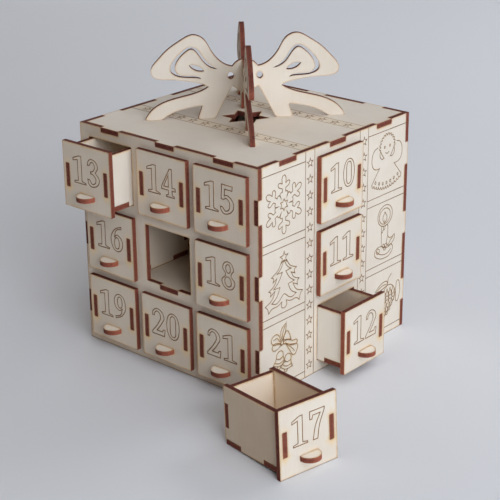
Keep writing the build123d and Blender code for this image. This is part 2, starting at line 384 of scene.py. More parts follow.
class Finish:
    """A material with its shader, and the few kinds of node that the finishes share."""

    def __init__(self, name):
        self.material = bpy.data.materials.new(name)
        self.material.use_nodes = True
        self.tree = self.material.node_tree
        self.shader = self.tree.nodes["Principled BSDF"]
        self.start = Value(self.tree)
        self.node = self.start.node
        self.spot = self.node("ShaderNodeTexCoord", {}, {}, "Object")
        self.normal = self.node("ShaderNodeNewGeometry", {}, {}, "True Normal")

    def give(self, **sockets):
        """Sets the shader's sockets to values or links; an underscore stands for a space."""
        for name, given in sockets.items():
            self.start.feed(self.shader.inputs[name.replace("_", " ")], given)

    def placed(self, vector, place, unit=1.0):
        """A vector seen from a place, in units of that many metres."""
        location, turn, _ = place.decompose()
        inputs = {"Vector": vector, "Location": location, "Rotation": turn.to_euler(),
                  "Scale": (unit, unit, unit)}
        return self.node("ShaderNodeMapping", {"vector_type": "TEXTURE"}, inputs)

    def scaled(self, vector, scale):
        """A vector with each of its parts times its own scale."""
        return self.node("ShaderNodeMapping", {"vector_type": "POINT"}, {"Vector": vector, "Scale": scale})

    def parts(self, vector):
        """The three parts of a vector."""
        split = self.node("ShaderNodeSeparateXYZ", {}, {"Vector": vector})
        return [split.other(name) for name in "XYZ"]

    def dot(self, one, other):
        """The dot product of two vectors."""
        return self.node("ShaderNodeVectorMath", {"operation": "DOT_PRODUCT"}, {0: one, 1: other}, "Value")

    def noise(self, vector, scale, detail=2.0, roughness=0.5):
        """Soft noise between 0 and 1."""
        inputs = {"Vector": vector, "Scale": scale, "Detail": detail, "Roughness": roughness}
        return self.node("ShaderNodeTexNoise", {}, inputs)

    def blend(self, share, one, other, clamp=True):
        """One colour blended into another by a share, or past it where the share isn't clamped."""
        settings = {"data_type": "RGBA", "clamp_factor": clamp}
        return self.node("ShaderNodeMix", settings, {0: share, 6: one, 7: other}, 2)


def switched(mask, one, other):
    """One value where the mask is 0 and the other where it is 1."""
    return one + mask * (other - one)


def plywood(finish, wood, flat, through, grain, glow=0.0, stain=1.0, depth=0.0, other=None, haze=None,
            height=None):
    """Fills a finish with birch veneer on the sheet's faces and char on its cut edges.

    flat is 1 on a face of the sheet and 0 on a cut edge, through runs from 0 to 1
    through the thickness, grain scales the veneer's pattern along each axis, glow is painted
    light and shade on the char: it makes the upright cut edges lighter than the tabs' ends or,
    below 0, darker, stain is how much yellow the cuts left, depth makes the veneer deeper as
    painted shade or, below 0, paler as painted light, other is a mask and a second colour
    there, a paler veneer on a pull or the painted warm bounce light inside a tray, haze is how
    much smoke lies on the veneer, and height is measured from the plate's foot for the painted
    contact shadow, or else from the table."""
    cut = flat < 0.5
    fibres = finish.scaled(finish.spot, grain)
    streak = finish.noise(fibres, STREAK_SCALE, detail=4.0, roughness=0.6)
    cloud = finish.noise(finish.spot, CLOUD_SCALE)
    fleck = finish.noise(fibres, FLECK_SCALE)
    tone = ((streak - 0.5) * STREAK_SHARE + (cloud - 0.5) * CLOUD_SHARE
            + (fleck - 0.5) * FLECK_SHARE + TONE).clamped()
    veneer = finish.blend(tone + depth, wood.veneer_pale, wood.veneer_deep, clamp=False)
    if other:
        veneer = finish.blend(other[0] * (1 - tone * 0.5), veneer, other[1])

    rounded = finish.node("ShaderNodeBevel", {"samples": 8}, {"Radius": SMOKE_REACH})
    bend = 1 - finish.dot(rounded, finish.normal)
    near = (bend * SMOKE_GAIN).clamped()
    drift = finish.noise(finish.spot, DRIFT_SCALE, detail=3.0)
    puff = drift * 1.9 - 0.1
    patch = (finish.noise(finish.spot, PATCH_SCALE) * 3.2 - 0.85).clamped()
    if haze:
        veneer = finish.blend(haze * puff.clamped(), veneer, wood.smoke)
    veneer = finish.blend((near * patch * puff).clamped() * (SMOKE_SHARE * stain), veneer, wood.smoke)
    scorch = ((near - 0.7) * patch * (drift * 5.2 - 1.4)).clamped() * (SCORCH_SHARE * stain)
    veneer = finish.blend(scorch, veneer, wood.singe)
    veneer = finish.blend(((bend - RIM_BEND) * RIM_GAIN).clamped() * RIM_SHARE, veneer, wood.rim)
    height = height or finish.parts(finish.spot)[2]
    # Painted contact shadow: darker towards the plate's foot
    veneer = finish.blend((1 - height * (1 / FOOT_SHADOW_HEIGHT)).clamped() * FOOT_SHADOW_SHARE, veneer, wood.char_dark)

    burn = finish.noise(finish.scaled(finish.spot, BURN_GRAIN), BURN_SCALE, detail=3.0)
    core = abs(through - 0.5) < CORE_HALF
    _, behind, up = finish.parts(finish.normal)
    # Painted shade: cut edges that look up or ahead are darker; the darker glued core is the wood's own
    shade = core * CORE_SHADE + up.clamped() * (TOP_PAINTED_SHADE + glow) + (behind < -0.5) * FRONT_PAINTED_SHADE
    char_burn_and_light = (burn * BURN_SHARE + (BURN_START + glow) - shade).clamped()
    char = finish.blend(char_burn_and_light, wood.char_dark, wood.char_light)
    colour = finish.blend(cut, veneer, char)

    relief = streak * 0.5 + fleck * 0.5 + cut * burn
    bump = finish.node("ShaderNodeBump", {}, {"Strength": RELIEF_STRENGTH,
                                              "Distance": RELIEF_DEPTH, "Height": relief})
    finish.give(Base_Color=colour, Roughness=WOOD_ROUGHNESS + cut * 0.1 + (fleck - 0.5) * 0.1,
                Normal=bump, Specular_IOR_Level=MATT_SHINE)
    return finish.material


def dress(node, material):
    """Gives a frame node its material."""
    thing = frame["nodes"][node]
    if not thing.material_slots:
        thing.data.materials.append(material)
    for slot in thing.material_slots:
        slot.material = material


def points_from(node, place):
    """The corners of a node's mesh, seen from a place."""
    back = place.inverted()
    return [back @ vertex.co for vertex in frame["nodes"][node].data.vertices]


def seen_from(node, place):
    """Lowest and highest corner of a node, seen from a place."""
    points = points_from(node, place)
    low = Vector([min(point[i] for point in points) for i in range(3)])
    high = Vector([max(point[i] for point in points) for i in range(3)])
    return low, high


class Drawer:
    """A drawer's place and sizes, read from its nodes.

    In its own frame x runs across the board, y into the box and z up, and the origin is
    the middle of the board's inner face."""

    def __init__(self, number):
        self.number = number
        self.body = f"drawer_{number:02d}"
        self.front = f"{self.body}_front"
        self.tray = f"{self.body}_tray"
        joint = next(j for j in frame["joints"] if j["child"] == self.body)
        across, ahead, _ = joint["axis"]
        turn = Matrix.Rotation(math.atan2(across, -ahead), 4, "Z")
        if number == ON_TABLE:
            turn = turn @ Matrix.Rotation(-self.lean(turn), 4, "X")
        low, high = seen_from(self.front, turn)
        origin = Vector(((low.x + high.x) / 2, high.y, (low.z + high.z) / 2))
        self.place = turn @ Matrix.Translation(origin)
        self.turn = self.place.to_quaternion().to_matrix().to_4x4()

    def lean(self, turn):
        """How far the board leans back, from the largest face that looks ahead."""
        ahead = turn @ Vector((0, -1, 0))
        faces = [face for face in frame["nodes"][self.front].data.polygons
                 if face.normal.dot(ahead) > 0.9]
        widest = max(faces, key=lambda face: face.area)
        return math.asin(widest.normal.z)

    def slot(self):
        """From the board's middle to a slot's middle, and the heights of the slot's ends."""
        tabs = [point for point in points_from(self.tray, self.place) if point.y < -SHEET / 2]
        reach = max(point.x for point in tabs) - SHEET / 2
        return reach, min(point.z for point in tabs), max(point.z for point in tabs)


def plate_finish(name, wood, axis, start, grain, **look):
    """The finish of a single plate: its axis through the sheet, and where its lower face is."""
    finish = Finish(name)
    flat = abs(finish.dot(finish.normal, axis))
    through = (finish.dot(finish.spot, axis) - start) * (1 / SHEET)
    return plywood(finish, wood, flat, through, grain, **look)


def lid_finish(wood, sizes):
    """The finish of the lid, with a little smoke along its star bands."""
    finish = Finish("top_panel_plywood")
    _, back, up = finish.parts(finish.spot)
    through = (up - (LID_TOP - SHEET)) * (1 / SHEET)
    middle = (sizes.band_outer + sizes.band_inner) / 2
    breadth = sizes.band_outer - sizes.band_inner
    haze = (1.5 - abs(abs(back) - middle) * (2 / breadth)).clamped() * LID_HAZE
    flat = abs(finish.dot(finish.normal, Vector((0, 0, 1))))
    # Painted shade on the lid's char: its cut edges are darker
    return plywood(finish, wood, flat, through, LEVEL_GRAIN, glow=LEVEL_PAINTED_SHADE, haze=haze)


def board_finish(drawer, wood):
    """The finish of a drawer's front board and of the pull that stands through it."""
    finish = Finish(f"{drawer.body}_board_plywood")
    sheet = SHEET / MM
    across, inward, up = finish.parts(finish.placed(finish.spot, drawer.place, MM))
    facing_aside, facing_in, facing_up = finish.parts(finish.placed(finish.normal, drawer.turn))
    level = up + PULL_DROP
    in_tab = (abs(across) < PULL_TAB / 2 + HAIR) * (abs(level) < sheet / 2 + HAIR)
    pull = (inward < -sheet - HAIR) | in_tab
    flat = switched(pull, abs(facing_in), abs(facing_up))
    through = switched(pull, inward * (1 / sheet) + 1, level * (1 / sheet) + 0.5)
    lit = drawer.number in LIT_DRAWERS
    # Painted light on the char: the boards on the sides, which face the lamps, have lighter cut edges
    edge_painted_shading = EDGE_PAINTED_SHADING[drawer.number in SIDE_DRAWERS]
    # Painted light on a pull's char: lighter on the boards that face the lamps, and lighter towards one
    # side
    glow = switched(pull, edge_painted_shading, PULL_PAINTED_LIGHT[lit] + facing_aside * PULL_PAINTED_SIDE_LIGHT)
    slot, low, high = [size / MM for size in drawer.slot()]
    haze = 0
    for end, share in zip((low, high), SLOT_HAZE):
        away = abs(abs(across) - slot) + abs(up - end)
        haze = haze + (1.4 - away * (1 / SLOT_HAZE_REACH)).clamped() * share
    # Painted shade: the front and back boards' veneer is deeper
    return plywood(finish, wood, flat, through, UPRIGHT_GRAIN, glow, depth=FACE_PAINTED_SHADE[lit],
                   other=(pull, wood.pull_veneer), haze=haze)


def tray_finish(drawer, wood):
    """The finish of a drawer's tray, whose sides, floor and back each have their own cut edges."""
    finish = Finish(f"{drawer.body}_tray_plywood")
    sheet = SHEET / MM
    low, high = [corner / MM for corner in seen_from(drawer.tray, drawer.place)]
    half, length, middle = high.x, high.y, (low.z + high.z) / 2
    across, inward, up = finish.parts(finish.placed(finish.spot, drawer.place, MM))
    aspects = finish.parts(finish.placed(finish.normal, drawer.turn))
    facings = [abs(part) for part in aspects]
    within = (across * aspects[0] < -HAIR) | (aspects[1] < -0.5) | (aspects[2] > 0.5)
    aside = abs(across)
    inside = aside < half - sheet - HAIR
    low_down = up < low.z + sheet + HAIR
    at_ends = (inward < TRAY_FLOOR_TAB + HAIR) | (inward > length - TRAY_FLOOR_TAB - HAIR)
    floor = low_down * (inside | at_ends)
    back_start = length - TRAY_TAIL - sheet
    back_slice = (inward > back_start - HAIR) * (inward < length - TRAY_TAIL + HAIR)
    in_tab = abs(up - middle) < TRAY_BACK_TAB / 2 + HAIR
    back = back_slice * (1 - low_down) * (inside | in_tab)
    flat = switched(back, switched(floor, facings[0], facings[2]), facings[1])
    side_through = (aside - (half - sheet)) * (1 / sheet)
    floor_through = (up - low.z) * (1 / sheet)
    back_through = (inward - back_start) * (1 / sheet)
    through = switched(back, switched(floor, side_through, floor_through), back_through)
    # Painted shade or, below 0, painted light on the tray's outer sides, by its number
    depth = (1 - within) * TRAY_PAINTED_SHADING.get(drawer.number, 0)
    # The insides of the tray take the painted warm bounce light
    return plywood(finish, wood, flat, through, UPRIGHT_GRAIN, depth=depth,
                   other=(within, wood.inner_veneer), height=(up - low.z) * MM)


def shared(name, fill, wood):
    """The material of that name, filled when it is first asked for."""
    if name not in bpy.data.materials:
        fill(Finish(name), wood)
    return bpy.data.materials[name]


def burn_line(finish, wood):
    """The brown of an engraved line, darker where the beam slowed down."""
    slow = finish.noise(finish.spot, BEAM_SCALE, detail=3.0, roughness=0.6)
    grain = finish.noise(finish.scaled(finish.spot, LINE_GRAIN), FIBRE_SCALE)
    share = (slow * 1.2 + grain * 0.4 - 0.3).clamped()
    finish.give(Base_Color=finish.blend(share, wood.line_dark, wood.line_light),
                Roughness=0.7 + grain * 0.2, Specular_IOR_Level=0.2)


def burn_haze(finish, wood):
    """The yellow stain that the beam left beside a line, in patches."""
    patch = finish.noise(finish.spot, STAIN_SCALE, detail=3.0, roughness=0.6)
    share = (patch * 1.8 - 0.4).clamped()
    finish.give(Base_Color=finish.blend(share, wood.veneer_pale, wood.smoke),
                Roughness=0.7 + patch * 0.1, Specular_IOR_Level=MATT_SHINE)


# Drawings for the engraver: a stroke is a list of points and whether it is closed

def tip(x, y):
    """A point where the line turns sharply."""
    return (x, y, "VECTOR")


def loop(*points):
    """A closed line."""
    return (points, True)


def line(*points):
    """An open line."""
    return (points, False)


def moved(strokes, matrix):
    """Strokes carried through a matrix in the drawing's plane."""
    carried = []
    for points, closed in strokes:
        ends = [matrix @ Vector((point[0], point[1], 0)) for point in points]
        carried.append(([(end.x, end.y, *point[2:]) for end, point in zip(ends, points)], closed))
    return carried


def shift(x, y, turn=0.0, scale=1.0, flip=False):
    """A matrix that scales, flips, turns and then moves a drawing."""
    sizes = (-scale if flip else scale, scale, 1, 1)
    return Matrix.Translation((x, y, 0)) @ Matrix.Rotation(turn, 4, "Z") @ Matrix.Diagonal(sizes)


def ring(x, y, radius, height=None):
    """A round or oval line."""
    tall = radius if height is None else height
    return loop((x, y + tall), (x + radius, y), (x, y - tall), (x - radius, y))


def star(x, y, radius, points=5, waist=0.42):
    """A star with one point up."""
    corners = []
    for step in range(2 * points):
        reach = radius if step % 2 == 0 else radius * waist
        angle = math.pi * (0.5 + step / points)
        corners.append(tip(x + reach * math.cos(angle), y + reach * math.sin(angle)))
    return loop(*corners)


# Numerals on a grid this wide and high
DIGIT_GRID = (56, 100)
SIX = [loop(tip(47, 98), (19, 80), (4, 37), (27, 0), (52, 31), (32, 63), tip(19, 55), (27, 80),
            tip(48, 90)),
       loop((28, 53), (38, 31), (28, 10), (18, 32))]
DIGITS = {
    "0": [loop((28, 100), (53, 50), (28, 0), (3, 50)), loop((28, 90), (39, 50), (28, 10), (17, 50))],
    "1": [loop(tip(4, 80), tip(4, 88), tip(28, 100), tip(38, 100), tip(38, 9), tip(54, 5), tip(54, 0),
               tip(7, 0), tip(7, 5), tip(22, 9), tip(22, 85))],
    "2": [loop(tip(5, 72), (8, 88), (28, 100), (51, 75), (41, 47), tip(21, 16), tip(43, 16),
               tip(47, 25), tip(54, 25), tip(51, 0), tip(3, 0), tip(3, 8), (28, 46), (37, 74), (26, 90),
               (14, 82), tip(12, 72))],
    "3": [loop(tip(5, 76), (10, 92), (27, 100), (47, 78), tip(37, 54), (52, 28), (26, 0), (8, 7),
               tip(4, 24), tip(11, 24), (25, 10), (38, 28), (25, 46), tip(17, 47), tip(17, 55), (24, 56),
               (34, 75), (25, 90), tip(12, 76))],
    "4": [loop(tip(33, 100), tip(42, 100), tip(42, 35), tip(54, 35), tip(54, 24), tip(42, 24),
               tip(42, 8), tip(50, 5), tip(50, 0), tip(20, 0), tip(20, 5), tip(28, 8), tip(28, 24),
               tip(2, 24), tip(2, 34)),
          loop(tip(28, 35), tip(28, 78), tip(10, 35))],
    "5": [loop(tip(9, 100), tip(48, 100), tip(46, 85), tip(20, 85), tip(18, 62), (30, 65), (52, 34),
               (25, 0), (8, 6), tip(4, 22), tip(11, 22), (24, 10), (38, 33), (26, 54), tip(14, 48),
               tip(7, 50))],
    "6": SIX,
    "7": [loop(tip(4, 100), tip(53, 100), tip(53, 93), (36, 45), tip(29, 0), tip(14, 0), (22, 46),
               tip(39, 85), tip(14, 85), tip(11, 73), tip(4, 73))],
    "8": [loop((28, 100), (48, 77), (38, 53), (52, 27), (28, 0), (4, 27), (18, 53), (8, 77)),
          loop((28, 90), (36, 77), (29, 60), (19, 75)), loop((25, 45), (39, 27), (28, 10), (15, 27))],
    "9": moved(SIX, shift(*DIGIT_GRID, math.pi)),
}


def number_strokes(number, sizes):
    """The outline of a number, centred on the drawing's origin."""
    text = str(number)
    across = sizes.digit_width / DIGIT_GRID[0]
    rise = sizes.digit_height / DIGIT_GRID[1]
    whole = len(text) * sizes.digit_width + (len(text) - 1) * sizes.digit_gap
    strokes = []
    for place, digit in enumerate(text):
        left = place * (sizes.digit_width + sizes.digit_gap) - whole / 2
        fit = Matrix.Translation((left, -sizes.digit_height / 2, 0))
        strokes += moved(DIGITS[digit], fit @ Matrix.Diagonal((across, rise, 1, 1)))
    return strokes


# Pictures in millimetres about the middle of their frames

def snowflake():
    """Six branched arms round a small star."""
    half = [tip(4.9, 2.83), (7.0, 3.5), (7.7, 2.9), tip(7.9, 1.5), tip(9.9, 1.5), (12.3, 5.1),
            (13.7, 4.6), tip(13.0, 1.6), (16.5, 1.6)]
    arm = [(a, -b, *kind) for a, b, *kind in half] + [(17.9, 0)] + half[::-1]
    points = []
    for step in range(6):
        turned, _ = moved([(arm[:-1], True)], Matrix.Rotation(math.pi * (0.5 + step / 3), 4, "Z"))[0]
        points += turned
    return [loop(*points), star(0, 0, 3.6, 6, 0.58)]


def both_sides(half):
    """A closed line through half an outline and its mirror image."""
    return loop(*half, *[(-x, y, *kind) for x, y, *kind in reversed(half)])


def fir_tree():
    """A fir of three tiers, drawn with a double line, and a star."""
    outside = [tip(2.3, 11.9), (5.4, 7.6), tip(11.3, 4.5), (9.5, 3.4), tip(9.9, 1.1), tip(6.6, 2.7),
               (8.8, -0.9), tip(13.8, -3.5), (12.2, -4.6), tip(12.3, -6.9), tip(8.3, -4.8),
               (11.0, -9.4), tip(17.1, -12.1), (15.2, -13.9), tip(14.0, -17.4), (11.4, -15.4),
               (6.0, -15.2), tip(2.0, -13.7), (2.3, -16.8), (0.9, -17.9)]
    inside = [tip(0.4, 11.6), (3.0, 7.6), tip(6.4, 5.2), tip(1.6, 5.0), (4.8, 0.2), tip(9.4, -3.4),
              tip(3.7, -3.9), (6.6, -9.0), tip(11.2, -12.0), (6.8, -13.2), tip(0.6, -9.2)]
    return [both_sides(outside), both_sides(inside), star(0, 14.1, 3.7)]


def bells():
    """Two bells under a ribbon bow with leaves."""
    bell = [loop((0, 0), (2.4, -1.0), (3.4, -4.6), tip(5.6, -8.4), (0, -9.9), tip(-5.6, -8.4),
                 (-3.4, -4.6), (-2.4, -1.0)),
            line((-4.3, -6.8), (0, -8.0), (4.3, -6.8)), line((-3.2, -4.2), (0, -5.2), (3.2, -4.2)),
            line((-1.5, -9.8), (-1.0, -11.4), (1.0, -11.4), (1.5, -9.8))]
    strokes = moved(bell, shift(-3.8, 1.6, -0.08)) + moved(bell, shift(4.2, -2.8, -0.26))
    bow = [loop(tip(-2.8, 7.4), (-6.6, 13.4), (-11.4, 12.0), (-11.2, 8.8), tip(-3.2, 6.4)),
           line((-3.8, 7.6), (-6.8, 10.8), (-9.8, 10.6)),
           loop(tip(-3.2, 5.8), (-8.2, 8.0), (-10.9, 6.6), (-9.8, 3.8), tip(-2.6, 5.0)),
           loop(tip(-0.6, 6.8), (3.6, 6.6), (8.0, 4.4), (11.8, 3.6), (12.2, 2.0), (7.6, 2.2),
                tip(-0.8, 5.4)),
           loop(tip(1.4, 5.0), (7.4, 1.6), (12.2, 0.6), (11.8, -3.4), (9.4, -5.4), (5.0, -0.8)),
           line((2.6, 3.6), (7.4, -0.4), (9.8, -3.2))]
    leaves = [loop(tip(-1.8, 8.0), (-3.2, 12.0), (-2.2, 15.6), tip(1.8, 18.0), (1.6, 14.4), (0.2, 10.6)),
              line((-1.4, 9.4), (-1.2, 13.0), (0.8, 16.4)),
              loop(tip(-0.8, 7.8), (0.6, 11.2), (2.4, 12.6), (5.0, 9.8), tip(6.2, 5.8), (2.4, 7.2))]
    return strokes + bow + leaves + [ring(-1.8, 6.5, 1.5)]


def scallops(start, end, count, bulge, sag=0.0):
    """An open row of small arcs between two points, on a line that sags in the middle."""
    start, end = Vector(start), Vector(end)
    across = (end - start).normalized()
    down = Vector((across.y, -across.x))
    points = []
    for step in range(2 * count + 1):
        share = step / (2 * count)
        drop = sag * 4 * share * (1 - share)
        spot = start.lerp(end, share) + down * (drop + (bulge if step % 2 else 0))
        points.append((spot.x, spot.y) if step % 2 else tip(spot.x, spot.y))
    return line(*points)


def angel():
    """A winged angel in a long dress, with curly hair."""
    curls = []
    for step in range(25):
        angle = math.radians(-14 + step * 208 / 24)
        reach = 8.2 if step % 2 else 6.9
        spot = (0.3 + reach * math.cos(angle), 10.6 + reach * math.sin(angle))
        curls.append(spot if step % 2 else tip(*spot))
    smile = line((-1.7, 6.6), (0.3, 5.7), (2.3, 6.6))
    side = [line(tip(-9.4, 11.6), (-13.4, 10.0), (-15.5, 5.0), (-14.0, -0.6), (-10.6, -2.4),
                 tip(-7.4, -2.4)),
            line(tip(-7.4, -2.4), tip(-15.2, -11.4)),
            loop(tip(-6.8, 8.6), (-7.2, 5.4), (-5.0, 3.0), tip(-3.0, 3.2), (-4.6, 5.2))]
    strokes = [line(*curls), smile, ring(-2.4, 10.2, 0.45, 0.7), ring(3.0, 10.2, 0.45, 0.7),
               scallops((-15.2, -11.4), (15.8, -11.4), 13, 1.5, 4.4)]
    for step in range(-3, 4):
        strokes.append(ring(0.3 + step * 3.9, -13.6 + 0.31 * step * step, 0.6, 0.9))
    for other in (False, True):
        strokes += moved(side, shift(0.6 if other else 0, 0, flip=other))
    return strokes


def candle():
    """A candle with a round glow, in a holder with leaves."""
    flame = [ring(-0.1, 11.2, 7.7, 7.0), ring(-0.4, 10.9, 5.8, 5.2),
             loop(tip(-0.4, 13.6), (1.9, 9.2), (-0.3, 6.6), (-2.4, 9.2)), line((-0.3, 8.4), (-0.2, 5.0))]
    wax = [line(tip(-3.4, -8.6), tip(-3.7, 3.6), (-3.0, 4.8), (-1.8, 4.0), (-0.9, 1.6), (0.2, 3.6),
                (1.8, 4.6), tip(3.1, 3.4), tip(3.2, -3.4)),
           line((-3.6, 0.8), (-2.8, 0.2), (-2.0, 2.0))]
    dish = [loop(tip(-3.4, -8.6), (-9.2, -9.6), (-10.6, -12.4), (-7.2, -15.9), (-0.2, -17.8), (6.4, -16.6),
                 (8.9, -12.6), tip(6.8, -9.8), (2.0, -11.4)),
            line((-8.4, -11.0), (-4.8, -13.9), (2.4, -15.4), (7.0, -13.4)),
            ring(-7.0, -11.4, 1.7)]
    leaf = [loop(tip(3.2, -3.4), (5.4, -5.4), tip(10.5, -4.4), (10.4, -7.4), (7.8, -9.6), tip(4.6, -11.2),
                 (2.2, -8.0)),
            line((4.0, -10.0), (6.2, -7.4), (9.2, -5.6))]
    berries = [ring(1.2, -9.4, 1.2), ring(-1.4, -9.2, 1.2), ring(0.2, -11.2, 1.2)]
    return flame + wax + dish + leaf + berries


def fir_cone():
    """A hanging cone with leaves."""
    cone = [loop(tip(4.6, 8.4), (8.6, 7.6), (12.2, 3.8), (12.8, -1.2), (8.4, -6.6), tip(2.4, -12.6),
                 (0.6, -6.4), (-0.6, 0.4), (1.0, 5.8))]
    rows = [((1.0, 6.0), (10.6, 6.4), 3), ((-0.2, 3.6), (12.2, 3.8), 4), ((-0.6, 1.0), (12.8, 1.2), 4),
            ((-0.4, -1.6), (12.6, -1.4), 4), ((0.2, -4.2), (10.6, -4.2), 3), ((0.6, -6.8), (8.2, -6.8), 3),
            ((1.2, -9.2), (5.8, -9.2), 2)]
    for start, end, count in rows:
        cone.append(scallops(start, end, count, 2.9, 0.5))
    leaves = [loop(tip(-8.4, 7.6), (-4.8, 10.2), (0.6, 11.8), (4.0, 11.0), tip(4.8, 8.4), (0.4, 7.6),
                   (-4.0, 6.8)),
              line((-6.6, 7.8), (-1.4, 9.6), (3.6, 9.4)),
              loop((15.7, 8.4), (18.2, 3.6), (17.8, -2.8), (15.2, -6.2), (13.9, -1.4), (14.0, 4.8)),
              loop(tip(-9.4, 2.0), (-5.6, 3.6), tip(-0.8, 2.4), (-5.0, 0.4))]
    return cone + leaves + [line(tip(4.6, 8.4), (5.4, 12.4), (8.6, 15.6))]


# Pictures of a side panel, each with its column, its row and how wide its haze is
SIDE_PICTURES = [(snowflake, -1, 1, 1.0), (fir_tree, -1, 0, 1.0), (bells, -1, -1, 1.8),
                 (angel, 1, 1, 1.0), (candle, 1, 0, 1.0), (fir_cone, 1, -1, 1.2)]


def engrave(name, strokes, place, body, scene, width=None, spread=1.0):
    """Burns strokes into a face, with their haze. The place carries the drawing's plane to that face."""
    sizes, wood = scene.calendar_engraving, scene.calendar_wood
    ribbon(name, strokes, place, body, width or sizes.line_width, sizes.line_depth, sizes.line_lift,
           shared("engraved_line", burn_line, wood))
    ribbon(f"{name}_haze", strokes, place, body, sizes.haze_width * spread, sizes.line_depth,
           sizes.haze_lift, shared("engraving_haze", burn_haze, wood))


def ribbon(name, strokes, place, body, width, depth, lift, material):
    """A piece that follows strokes, that wide, from a depth below the face to a lift above it."""
    curve = bpy.data.curves.new(name, "CURVE")
    curve.dimensions = "2D"
    curve.fill_mode = "NONE"
    curve.resolution_u = CURVE_STEPS
    curve.extrude = (depth + lift) / 2
    for points, closed in strokes:
        spline = curve.splines.new("BEZIER")
        spline.bezier_points.add(len(points) - 1)
        for knot, point in zip(spline.bezier_points, points):
            knot.co = (point[0], point[1], 0)
            handle = point[2] if len(point) > 2 else "AUTO"
            knot.handle_left_type = handle
            knot.handle_right_type = handle
        spline.use_cyclic_u = closed
    holder = bpy.data.objects.new(name + "_drawing", curve)
    bpy.context.scene.collection.objects.link(holder)
    bpy.context.view_layer.update()
    mesh = bpy.data.meshes.new_from_object(holder)
    bpy.data.objects.remove(holder)
    bpy.data.curves.remove(curve)
    middle = (lift - depth) / 2
    shaped = bmesh.new()
    shaped.from_mesh(mesh)
    bmesh.ops.remove_doubles(shaped, verts=shaped.verts, dist=WELD)
    bmesh.ops.transform(shaped, matrix=place @ Matrix.Translation((0, 0, middle)), verts=shaped.verts)
    shaped.to_mesh(mesh)
    shaped.free()
    mesh.name = name
    piece = bpy.data.objects.new(name, mesh)
    piece.visible_shadow = False
    bpy.context.scene.collection.objects.link(piece)
    breadth = piece.modifiers.new("breadth", "SOLIDIFY")
    breadth.thickness = width
    breadth.offset = 0
    breadth.use_even_offset = True
    mesh.materials.clear()
    mesh.materials.append(material)
    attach(piece, body)


def upright(turn, reach):
    """The drawing plane on a wall of the box that is turned about Z."""
    return (Matrix.Rotation(turn, 4, "Z") @ Matrix.Translation((0, -reach, 0))
            @ Matrix.Rotation(math.pi / 2, 4, "X"))


def star_band(length, sizes, upwards):
    """Two star bands with their lines, along a face of that length about the origin."""
    def spot(across, along):
        return (across, along) if upwards else (along, across)

    strokes = []
    count = int(length / sizes.star_pitch)
    middle = (sizes.band_inner + sizes.band_outer) / 2
    for side in (-1, 1):
        for reach in (sizes.band_inner, sizes.band_outer):
            ends = [spot(side * reach, end * length / 2) for end in (-1, 1)]
            strokes.append(line(*[tip(*end) for end in ends]))
        for step in range(count):
            along = (step - (count - 1) / 2) * sizes.star_pitch
            strokes.append(star(*spot(side * middle, along), sizes.star_radius))
    return strokes


def side_faces():
    """The names of the side panels with the drawing planes about the middles of their faces."""
    middle = Matrix.Translation((0, LID_TOP / 2, 0))
    return [(side, upright(math.radians(turn), SIDE_REACH) @ middle)
            for side, turn in (("right", 90), ("left", 270))]


def frame_pitch(sizes):
    """From the middle of a picture's frame to the middle of the next one above."""
    return (LID_TOP - 2 * sizes.frame_edge + sizes.frame_gap) / 3


class CALENDAR_OT_finish_box(bpy.types.Operator):
    """Gives the box's panels, shelves and bow their plywood"""

    bl_idname = "calendar.finish_box"
    bl_label = "Finish box and bow"

    def execute(self, context):
        wood = context.scene.calendar_wood
        walls = {"front_panel": 1, "back_panel": 1, "left_panel": 0, "right_panel": 0}
        for node, part in walls.items():
            axis = Vector([part == 0, part == 1, 0])
            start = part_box(node)[0][part]
            # Painted light and shade: the side panels' cut edges are darker, and the veneer of the front
            # and back panels is deeper as painted shade
            dress(node, plate_finish(f"{node}_plywood", wood, axis, start, UPRIGHT_GRAIN,
                                     glow=WALL_PAINTED_SHADE[part == 0], depth=FACE_PAINTED_SHADE[part == 0]))
        dress("top_panel", lid_finish(wood, context.scene.calendar_engraving))
        for node in ("bottom_shelf", "middle_shelf", "upper_shelf"):
            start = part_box(node)[0].z
            # Painted shade: the shelves' cut edges are darker, and their veneer deeper, inside the cells
            dress(node, plate_finish(f"{node}_plywood", wood, Vector((0, 0, 1)), start, LEVEL_GRAIN,
                                     glow=LEVEL_PAINTED_SHADE, depth=SHELF_PAINTED_SHADE))
        for node, side in (("bow_plate_rear", -1), ("bow_plate_front", 1)):
            axis = Vector((1, side, 0)).normalized()
            # Painted light: the bow's cut edges are lighter
            dress(node, plate_finish(f"{node}_plywood", wood, axis, -SHEET / 2, UPRIGHT_GRAIN,
                                     glow=BOW_PAINTED_LIGHT, stain=BOW_STAIN))
        return {"FINISHED"}


class CALENDAR_OT_finish_drawers(bpy.types.Operator):
    """Gives every drawer's board, pull and tray their plywood"""

    bl_idname = "calendar.finish_drawers"
    bl_label = "Finish drawers"

    def execute(self, context):
        wood = context.scene.calendar_wood
        for number in DRAWERS:
            drawer = Drawer(number)
            dress(drawer.front, board_finish(drawer, wood))
            dress(drawer.tray, tray_finish(drawer, wood))
        return {"FINISHED"}


class CALENDAR_OT_engrave_numbers(bpy.types.Operator):
    """Engraves each drawer's number on its board"""

    bl_idname = "calendar.engrave_numbers"
    bl_label = "Engrave numbers"

    def execute(self, context):
        sizes = context.scene.calendar_engraving
        for number in DRAWERS:
            drawer = Drawer(number)
            face = drawer.place @ upright(0, SHEET) @ Matrix.Translation((0, sizes.digit_rise, 0))
            strokes = number_strokes(number, sizes)
            width = sizes.side_number_width if number in LIT_DRAWERS else sizes.number_width
            engrave(f"{drawer.body}_number", strokes, face, drawer.body, context.scene, width)
        return {"FINISHED"}


